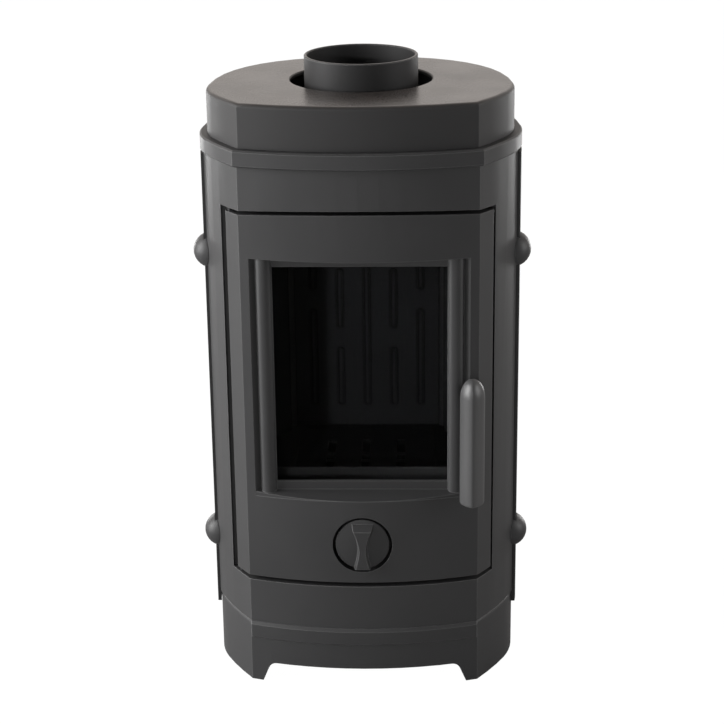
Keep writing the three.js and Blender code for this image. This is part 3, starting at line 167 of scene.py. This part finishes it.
def make_world():
    """White where it is seen; the light it gives is a little warm, and dimmer from the front."""
    world = bpy.data.worlds.new("studio_air")
    bpy.context.scene.world = world
    world.use_nodes = True
    tree = world.node_tree
    tree.nodes.clear()
    aim = tree.nodes.new("ShaderNodeSeparateXYZ")
    tree.links.new(tree.nodes.new("ShaderNodeTexCoord").outputs["Generated"], aim.inputs[0])
    depth = node_in(tree, "ShaderNodeMapRange", From_Min=-0.4, From_Max=0.85, To_Min=0.045, To_Max=1.0)
    tree.links.new(aim.outputs["Y"], depth.inputs["Value"])
    straight = seen_directly(tree)
    background = tree.nodes.new("ShaderNodeBackground")
    warm_white, white = (1, 0.935, 0.885), (1, 1, 1)
    tree.links.new(mixed_colours(tree, straight, warm_white, white), background.inputs["Color"])
    out = tree.nodes.new("ShaderNodeOutputWorld")
    strength = math_node(tree, "MAXIMUM", straight, depth.outputs["Result"])
    tree.links.new(strength, background.inputs["Strength"])
    tree.links.new(background.outputs[0], out.inputs[0])


def make_floor():
    just_under = -0.6 * MM
    bpy.ops.mesh.primitive_plane_add(size=14, location=(0, 1.0, just_under))
    floor = bpy.context.object
    floor.name = "studio_floor"
    material = bpy.data.materials.new("pale_floor")
    material.use_nodes = True
    tree = material.node_tree
    tree.nodes.clear()
    lit = node_in(tree, "ShaderNodeBsdfDiffuse", Color=(0.3, 0.3, 0.3, 1))
    bright = node_in(tree, "ShaderNodeEmission", Color=(1, 1, 1, 1), Strength=1.16)
    mix = tree.nodes.new("ShaderNodeMixShader")
    out = tree.nodes.new("ShaderNodeOutputMaterial")
    glow_share = 0.86
    tree.links.new(math_node(tree, "MULTIPLY", seen_directly(tree), glow_share), mix.inputs[0])
    tree.links.new(lit.outputs[0], mix.inputs[1])
    tree.links.new(bright.outputs[0], mix.inputs[2])
    tree.links.new(mix.outputs[0], out.inputs[0])
    floor.data.materials.append(material)


# ---------------------------------------------------------------- shared surface effects

def new_group(name, inputs, outputs):
    group = bpy.data.node_groups.new(name, "ShaderNodeTree")
    for label, kind, value in inputs:
        group.interface.new_socket(label, in_out="INPUT", socket_type=kind).default_value = value
    for label, kind in outputs:
        group.interface.new_socket(label, in_out="OUTPUT", socket_type=kind)
    return group, group.nodes.new("NodeGroupInput"), group.nodes.new("NodeGroupOutput")


def casting_skin_group():
    """Painted casting: fine sand grain and pits, slow waves, and blotches in tone and gloss."""
    group, given, result = new_group("casting_skin", [
        ("Grain Scale", "NodeSocketFloat", 900.0),
        ("Wave Scale", "NodeSocketFloat", 14.0),
        ("Blotch", "NodeSocketFloat", 0.1),
        ("Waviness", "NodeSocketFloat", 0.25),
    ], [("Tone", "NodeSocketFloat"), ("Height", "NodeSocketFloat"), ("Gloss Shift", "NodeSocketFloat")])
    place = object_place(group)
    grain = node_in(group, "ShaderNodeTexNoise", Detail=3.0, Roughness=0.62)
    wave = node_in(group, "ShaderNodeTexNoise", Detail=3.0, Roughness=0.5)
    pits = group.nodes.new("ShaderNodeTexVoronoi")
    for texture in (grain, wave, pits):
        group.links.new(place, texture.inputs["Vector"])
    group.links.new(given.outputs["Grain Scale"], grain.inputs["Scale"])
    group.links.new(given.outputs["Wave Scale"], wave.inputs["Scale"])
    pit_scale = math_node(group, "MULTIPLY", given.outputs["Grain Scale"], 0.45)
    group.links.new(pit_scale, pits.inputs["Scale"])
    centred_wave = math_node(group, "SUBTRACT", wave.outputs[0], 0.5)
    centred_grain = math_node(group, "SUBTRACT", grain.outputs[0], 0.5)
    blotch = math_node(group, "MULTIPLY", centred_wave, given.outputs["Blotch"])
    speck_share = math_node(group, "MULTIPLY", given.outputs["Blotch"], 1.5)
    speck = math_node(group, "MULTIPLY", centred_grain, speck_share)
    tone = math_node(group, "ADD", math_node(group, "ADD", blotch, speck), 1.0)
    group.links.new(tone, result.inputs["Tone"])
    pit_depth = math_node(group, "MULTIPLY", pits.outputs["Distance"], 0.4)
    fine = math_node(group, "ADD", grain.outputs[0], pit_depth)
    slow = math_node(group, "MULTIPLY", wave.outputs[0], given.outputs["Waviness"])
    group.links.new(math_node(group, "ADD", fine, slow), result.inputs["Height"])
    slow_gloss = math_node(group, "MULTIPLY", centred_wave, 0.16)
    fine_gloss = math_node(group, "MULTIPLY", centred_grain, 0.12)
    group.links.new(math_node(group, "ADD", slow_gloss, fine_gloss), result.inputs["Gloss Shift"])
    return group


def dust_and_top_light_group():
    """Pale dusting that settles on what faces up, broken up by a noise, and a mask of what faces up; on the cap
    the same mask carries painted light.
    """
    group, given, result = new_group("dust_and_painted_top_light", [("Amount", "NodeSocketFloat", 0.1)],
                                     [("Mask", "NodeSocketFloat"), ("Upward", "NodeSocketFloat")])
    facing = group.nodes.new("ShaderNodeSeparateXYZ")
    group.links.new(group.nodes.new("ShaderNodeNewGeometry").outputs["Normal"], facing.inputs[0])
    noise = node_in(group, "ShaderNodeTexNoise", Scale=26.0, Detail=5.0, Roughness=0.6)
    group.links.new(object_place(group), noise.inputs["Vector"])
    up = math_node(group, "POWER", math_node(group, "MAXIMUM", facing.outputs["Z"], 0.0), 3.0)
    group.links.new(up, result.inputs["Upward"])
    cover = math_node(group, "MULTIPLY", up, noise.outputs[0])
    group.links.new(math_node(group, "MULTIPLY", cover, given.outputs["Amount"]), result.inputs["Mask"])
    return group


def edge_wear_light_and_shade_group():
    """Where two faces meet in a sharp edge: a mask that carries worn, lighter paint and painted highlight on
    edges, and painted shade in the lining's creases, and the rounded normal.
    """
    group, given, result = new_group("edge_wear_light_and_shade", [
        ("Amount", "NodeSocketFloat", 0.5),
        ("Width", "NodeSocketFloat", 1.3 * MM),
    ], [("Mask", "NodeSocketFloat"), ("Normal", "NodeSocketVector")])
    rounded = group.nodes.new("ShaderNodeBevel")
    group.links.new(given.outputs["Width"], rounded.inputs["Radius"])
    facing = group.nodes.new("ShaderNodeNewGeometry").outputs["Normal"]
    likeness = group.nodes.new("ShaderNodeVectorMath")
    likeness.operation = "DOT_PRODUCT"
    group.links.new(rounded.outputs[0], likeness.inputs[0])
    group.links.new(facing, likeness.inputs[1])
    turned = math_node(group, "SUBTRACT", 1.0, likeness.outputs["Value"])
    steepness = 9.0
    strong = math_node(group, "MINIMUM", math_node(group, "MULTIPLY", turned, steepness), 1.0)
    group.links.new(math_node(group, "MULTIPLY", strong, given.outputs["Amount"]), result.inputs["Mask"])
    group.links.new(rounded.outputs[0], result.inputs["Normal"])
    return group


SKIN = casting_skin_group()
DUST_AND_TOP_LIGHT = dust_and_top_light_group()
EDGE_WEAR_LIGHT_AND_SHADE = edge_wear_light_and_shade_group()
GRAIN_DEPTH = 0.35 * MM


def painted_iron(name, colour, dust_and_top_light_colour, rough, grain=900.0, bump=0.16, blotch=0.1, dust_and_top_light_amount=0.05,
                 metallic=0.0, wear_light_and_shade=0.0, wear_light_and_shade_colour=(0.2, 0.2, 0.2), wear_light_and_shade_width=1.3, shine=0.45, top_rough=None):
    """Iron or steel with its skin, a pale dusting and painted top light on what faces up, and a colour along
    sharp edges (lighter for worn paint and painted highlight, darker for painted shade): the edge width is in mm,
    top_rough is the roughness of what faces up.
    """
    material, tree, shader = new_material(name)
    skin = group_in(tree, SKIN, Grain_Scale=grain, Blotch=blotch)
    # what faces up gets a pale dusting; on the cap its colour is painted light, the warm tone of the lit top
    dust_and_light = group_in(tree, DUST_AND_TOP_LIGHT, Amount=dust_and_top_light_amount)
    base = mixed_colours(tree, dust_and_light.outputs["Mask"], colour, dust_and_top_light_colour)
    surface = scaled_colour(tree, base, skin.outputs["Tone"])
    rough_now = math_node(tree, "ADD", skin.outputs["Gloss Shift"], rough)
    if top_rough is not None:
        polish = math_node(tree, "MULTIPLY", dust_and_light.outputs["Upward"], rough - top_rough)
        rough_now = math_node(tree, "SUBTRACT", rough_now, polish)
    tree.links.new(rough_now, shader.inputs["Roughness"])
    relief = node_in(tree, "ShaderNodeBump", Strength=bump, Distance=GRAIN_DEPTH)
    tree.links.new(skin.outputs["Height"], relief.inputs["Height"])
    # a colour along sharp edges: lighter for worn paint and painted highlight, darker for painted shade
    if wear_light_and_shade:
        edges = group_in(tree, EDGE_WEAR_LIGHT_AND_SHADE, Amount=wear_light_and_shade, Width=wear_light_and_shade_width * MM)
        surface = mixed_colours(tree, edges.outputs["Mask"], surface, wear_light_and_shade_colour)
        tree.links.new(edges.outputs["Normal"], relief.inputs["Normal"])
    tree.links.new(surface, shader.inputs["Base Color"])
    tree.links.new(relief.outputs[0], shader.inputs["Normal"])
    shader.inputs["Metallic"].default_value = metallic
    shader.inputs["Specular IOR Level"].default_value = shine
    return material


def cover_paint_with_painted_top_light():
    """The cap's paint is charcoal and wiped smooth where it faces up; there a warm, pale painted light is mixed
    into its colour.
    """
    # the second colour, warm and pale, is painted light on what faces up
    return painted_iron("cover_paint", (0.023, 0.0225, 0.023), (0.24, 0.17, 0.13), rough=0.6, dust_and_top_light_amount=0.15,
                        wear_light_and_shade=0.35, shine=0.46, top_rough=0.27)


def clear_glass():
    """Clear glass with a faint haze, that lets the lamps' light through."""
    material, tree, shader = new_material("window_glass")
    shader.inputs["Base Color"].default_value = (0.9, 0.91, 0.92, 1)
    shader.inputs["Transmission Weight"].default_value = 1.0
    shader.inputs["IOR"].default_value = 1.08
    haze = node_in(tree, "ShaderNodeTexNoise", Scale=9.0, Detail=4.0, Roughness=0.55)
    tree.links.new(object_place(tree), haze.inputs["Vector"])
    most_roughness = 0.02
    rough = math_node(tree, "MULTIPLY", haze.outputs[0], most_roughness)
    tree.links.new(rough, shader.inputs["Roughness"])
    shadow = tree.nodes.new("ShaderNodeLightPath").outputs["Is Shadow Ray"]
    tree.links.new(math_node(tree, "SUBTRACT", 1.0, shadow), shader.inputs["Alpha"])
    return material


def woven_rope(name, colour):
    """Glass-fibre yarn: slanting strands with a fuzzy surface."""
    material, tree, shader = new_material(name)
    place = object_place(tree)
    strands = node_in(tree, "ShaderNodeTexWave", Scale=210.0, Distortion=2.0, Detail=2.0)
    strands.bands_direction = "DIAGONAL"
    fuzz = node_in(tree, "ShaderNodeTexNoise", Scale=700.0, Detail=3.0)
    tree.links.new(place, strands.inputs["Vector"])
    tree.links.new(place, fuzz.inputs["Vector"])
    darkest, contrast = 0.6, 0.3
    tone = math_node(tree, "ADD", math_node(tree, "MULTIPLY", strands.outputs["Fac"], contrast),
                     math_node(tree, "MULTIPLY", fuzz.outputs[0], contrast))
    toned = scaled_colour(tree, colour, math_node(tree, "ADD", tone, darkest))
    tree.links.new(toned, shader.inputs["Base Color"])
    height = math_node(tree, "ADD", strands.outputs["Fac"], math_node(tree, "MULTIPLY", fuzz.outputs[0], 0.5))
    relief = node_in(tree, "ShaderNodeBump", Strength=0.7, Distance=1.2 * MM)
    tree.links.new(height, relief.inputs["Height"])
    tree.links.new(relief.outputs[0], shader.inputs["Normal"])
    shader.inputs["Roughness"].default_value = 0.9
    return material


# ---------------------------------------------------------------- finishes on the nodes

WELD_REACH = 0.02 * MM


def dress(nodes, material, edge=0.7, angle=26):
    """Gives nodes a finish, and rounds by edge (mm) what is sharper than angle (degrees)."""
    for name in nodes:
        piece = NODES[name]
        piece.data.materials.clear()
        piece.data.materials.append(material)
        for face in piece.data.polygons:
            face.use_smooth = True
        weld = piece.modifiers.new("weld", "WELD")
        weld.merge_threshold = WELD_REACH
        bevel = piece.modifiers.new("edge_round", "BEVEL")
        bevel.limit_method = "ANGLE"
        bevel.angle_limit = math.radians(angle)
        bevel.width = edge * MM
        bevel.segments = 2
        bevel.harden_normals = True
        split = piece.modifiers.new("crisp", "EDGE_SPLIT")
        split.split_angle = math.radians(angle)
        even = piece.modifiers.new("even_shading", "WEIGHTED_NORMAL")
        even.mode = "FACE_AREA_WITH_ANGLE"


PALE_DUST = (0.12, 0.115, 0.11)


def dress_body():
    # the lighter edge colour on body, door, handle, flue and cap is worn paint and painted highlight
    body = painted_iron("body_paint", (0.036, 0.036, 0.037), PALE_DUST, rough=0.5, wear_light_and_shade=0.7)
    # the side castings' darker paint is painted shade: a darker copy of the body paint for sides that fall in
    # shade
    side_paint_with_painted_shade = painted_iron("side_paint_darkened_as_painted_shade", (0.014, 0.014, 0.0145), (0.06, 0.058, 0.055), rough=0.6)
    flue = painted_iron("flue_paint", (0.012, 0.0115, 0.012), PALE_DUST, rough=0.66, wear_light_and_shade=1.0, top_rough=0.3)
    dress(["base_plinth", "front_casting", "body_top_plate"], body)
    dress(["right_side_casting", "left_side_casting", "rear_casting"], side_paint_with_painted_shade)
    dress(["dome_cap_upper_right", "dome_cap_upper_left", "dome_cap_lower_right", "dome_cap_lower_left"],
          body, edge=0.4, angle=35)
    dress(["top_cover"], cover_paint_with_painted_top_light(), edge=0.8, angle=32)
    dress(["flue_collar"], flue, edge=0.5)


def dress_door():
    door = painted_iron("door_paint", (0.035, 0.035, 0.036), PALE_DUST, rough=0.46, wear_light_and_shade=0.6)
    handle = painted_iron("handle_paint", (0.065, 0.065, 0.066), (0.12, 0.12, 0.12), rough=0.4, bump=0.08,
                          wear_light_and_shade=0.3)
    dress(["door_casting"], door)
    dress(["air_knob"], door, edge=0.6)
    dress(["handle_bar"], handle, edge=0.8, angle=40)
    dress(["door_glass"], clear_glass(), edge=0.3)


def dress_inside():
    sooty = painted_iron("sooty_iron", (0.006, 0.006, 0.006), (0.02, 0.019, 0.018), rough=0.85, grain=500.0,
                         blotch=0.4, dust_and_top_light_amount=0.1, shine=0.08)
    # the lining's near-black edge colour is painted shade in the creases round its ribs and plate edges
    lining = painted_iron("lining_iron", (0.018, 0.0185, 0.019), (0.03, 0.03, 0.03), rough=0.75, grain=600.0,
                          blotch=0.3, dust_and_top_light_amount=0.1, wear_light_and_shade=1.0, wear_light_and_shade_colour=(0.0004, 0.0004, 0.0004), wear_light_and_shade_width=2.6,
                          shine=0.08)
    # the guard's lighter edge colour is painted highlight along its lip
    guard = painted_iron("guard_iron", (0.022, 0.022, 0.0225), (0.04, 0.04, 0.04), rough=0.7, grain=600.0,
                         blotch=0.3, dust_and_top_light_amount=0.1, wear_light_and_shade=0.6, wear_light_and_shade_colour=(0.07, 0.07, 0.07), shine=0.2)
    dress(["ash_box", "hearth_floor", "fire_grate", "baffle_plate", "ash_pan", "air_shutter"], sooty)
    dress(["log_guard"], guard, edge=0.5)
    dress(["rear_hearth_plate", "right_hearth_plate", "left_hearth_plate"], lining, edge=0.5)


def dress_fasteners():
    """Dull steel, and blackened steel for the pieces that could show in the gaps round the door."""
    dull = painted_iron("dull_steel", (0.42, 0.42, 0.43), (0.3, 0.27, 0.22), rough=0.4, grain=1400.0, bump=0.1,
                        blotch=0.35, dust_and_top_light_amount=0.3, metallic=0.9)
    blackened = painted_iron("blackened_steel", (0.03, 0.03, 0.032), (0.05, 0.05, 0.05), rough=0.55,
                             grain=1400.0, blotch=0.3, dust_and_top_light_amount=0.1, shine=0.25)
    in_the_gaps = ["hinge_pin_upper", "hinge_pin_lower", "strike_plate"]
    other_steel = [row["node"] for row in frame["record"]["subparts"]
                   if row["material_slot"] == "fastener_steel" and row["node"] not in in_the_gaps]
    dress(other_steel, dull, edge=0.3)
    dress(in_the_gaps, blackened, edge=0.3)


# ---------------------------------------------------------------- the door's two seals

SEAL_WIDTH = 9 * MM


def plate_with_round_corners(name, width, height, corner):
    """A flat plate that lies level, left in edit mode with all of it selected."""
    bpy.ops.object.select_all(action="DESELECT")
    bpy.ops.mesh.primitive_plane_add(size=1, location=(0, 0, 0))
    plate = bpy.context.object
    plate.name = name
    bpy.ops.object.mode_set(mode="EDIT")
    bpy.ops.mesh.select_all(action="SELECT")
    bpy.ops.transform.resize(value=(width, height, 1))
    bpy.ops.mesh.bevel(offset=corner, segments=8, affect="VERTICES")
    bpy.ops.mesh.select_all(action="SELECT")
    return plate


def node_box(node):
    points = [corner.co for corner in NODES[node].data.vertices]
    return ([min(p[axis] for p in points) for axis in range(3)],
            [max(p[axis] for p in points) for axis in range(3)])


def finish_seal(piece, node, colour, y):
    """Stands a level ring upright at y, in the place of the CAD ring node, and lets it ride on the door."""
    low, high = node_box(node)
    piece.rotation_euler = (math.radians(90), 0, 0)
    piece.location = (0, y, (low[2] + high[2]) / 2)
    bpy.ops.object.transform_apply(location=True, rotation=True, scale=True)
    bpy.ops.object.mode_set(mode="EDIT")
    bpy.ops.mesh.select_all(action="SELECT")
    bpy.ops.mesh.remove_doubles(threshold=0.05 * MM)
    bpy.ops.mesh.normals_make_consistent(inside=False)
    bpy.ops.object.mode_set(mode="OBJECT")
    bpy.ops.object.shade_smooth_by_angle(angle=math.radians(50))
    piece.data.materials.clear()
    piece.data.materials.append(woven_rope(piece.name + "_weave", colour))
    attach(piece, "door")
    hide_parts(node)


def make_glass_tape():
    """Flat woven tape round the glass: an inset plate, opened, thickened and softened."""
    low, high = node_box("glass_gasket")
    tape = plate_with_round_corners("glass_tape", high[0] - low[0], high[2] - low[2], corner=13 * MM)
    bpy.ops.mesh.inset(thickness=SEAL_WIDTH)
    bpy.ops.mesh.delete(type="FACE")
    bpy.ops.mesh.select_all(action="SELECT")
    bpy.ops.mesh.extrude_region_move(TRANSFORM_OT_translate={"value": (0, 0, high[1] - low[1])})
    bpy.ops.object.mode_set(mode="OBJECT")
    soft = tape.modifiers.new("soft_edges", "BEVEL")
    soft.width, soft.segments, soft.limit_method = 0.5 * MM, 3, "ANGLE"
    soft.angle_limit = math.radians(60)
    bpy.ops.object.modifier_apply(modifier=soft.name)
    finish_seal(tape, "glass_gasket", colour=(0.42, 0.4, 0.36), y=high[1])


def make_rope_path(width, height):
    """The middle line of the rope: a closed curve from the edge of a plate with round corners."""
    plate_with_round_corners("rope_path", width, height, corner=9 * MM)
    bpy.ops.mesh.delete(type="ONLY_FACE")
    bpy.ops.object.mode_set(mode="OBJECT")
    bpy.ops.object.convert(target="CURVE")
    path = bpy.context.object
    path.data.dimensions = "2D"
    return path


def make_door_rope():
    """Three twisted strands, pressed flat and laid round the door's rim."""
    low, high = node_box("door_rope")
    thickness = high[1] - low[1]
    path = make_rope_path(high[0] - low[0] - SEAL_WIDTH, high[2] - low[2] - SEAL_WIDTH)
    length = path.data.splines[0].calc_length()
    lay_length = 17 * MM
    turns = round(length / lay_length)
    strands, strand_radius, strand_offset = 3, 2.1 * MM, 1.9 * MM

    bpy.ops.object.select_all(action="DESELECT")
    bpy.ops.mesh.primitive_circle_add(vertices=8, radius=strand_radius, location=(0, strand_offset, 0),
                                      rotation=(0, math.radians(90), 0))
    rope = bpy.context.object
    rope.name = "twisted_rope"
    bpy.ops.object.transform_apply(location=True, rotation=True, scale=True)
    bpy.ops.object.mode_set(mode="EDIT")
    bpy.ops.mesh.select_all(action="SELECT")
    for _ in range(strands - 1):
        bpy.ops.mesh.duplicate()
        bpy.ops.transform.rotate(value=math.radians(360 / strands), orient_axis="X", center_override=(0, 0, 0))
    bpy.ops.object.mode_set(mode="OBJECT")
    twist = rope.modifiers.new("twist", "SCREW")
    twist.axis, twist.angle, twist.screw_offset = "X", math.radians(360), length / turns
    twist.steps = twist.render_steps = 12
    bpy.ops.object.modifier_apply(modifier=twist.name)

    spread = 2 * (strand_radius + strand_offset)
    bpy.ops.object.mode_set(mode="EDIT")
    bpy.ops.mesh.select_all(action="SELECT")
    bpy.ops.transform.resize(value=(1, SEAL_WIDTH / spread, thickness / spread), center_override=(0, 0, 0))
    bpy.ops.object.mode_set(mode="OBJECT")
    run = rope.modifiers.new("run", "ARRAY")
    run.count, run.use_relative_offset, run.use_constant_offset = turns, False, True
    run.constant_offset_displace = (length / turns, 0, 0)
    run.use_merge_vertices, run.merge_threshold = True, 0.1 * MM
    bpy.ops.object.modifier_apply(modifier=run.name)
    lay = rope.modifiers.new("lay", "CURVE")
    lay.object, lay.deform_axis = path, "POS_X"
    bpy.ops.object.modifier_apply(modifier=lay.name)
    bpy.data.objects.remove(path)
    finish_seal(rope, "door_rope", colour=(0.5, 0.48, 0.43), y=(low[1] + high[1]) / 2)


make_camera()
make_lights()
make_world()
make_floor()
dress_body()
dress_door()
dress_inside()
dress_fasteners()
make_glass_tape()
make_door_rope()
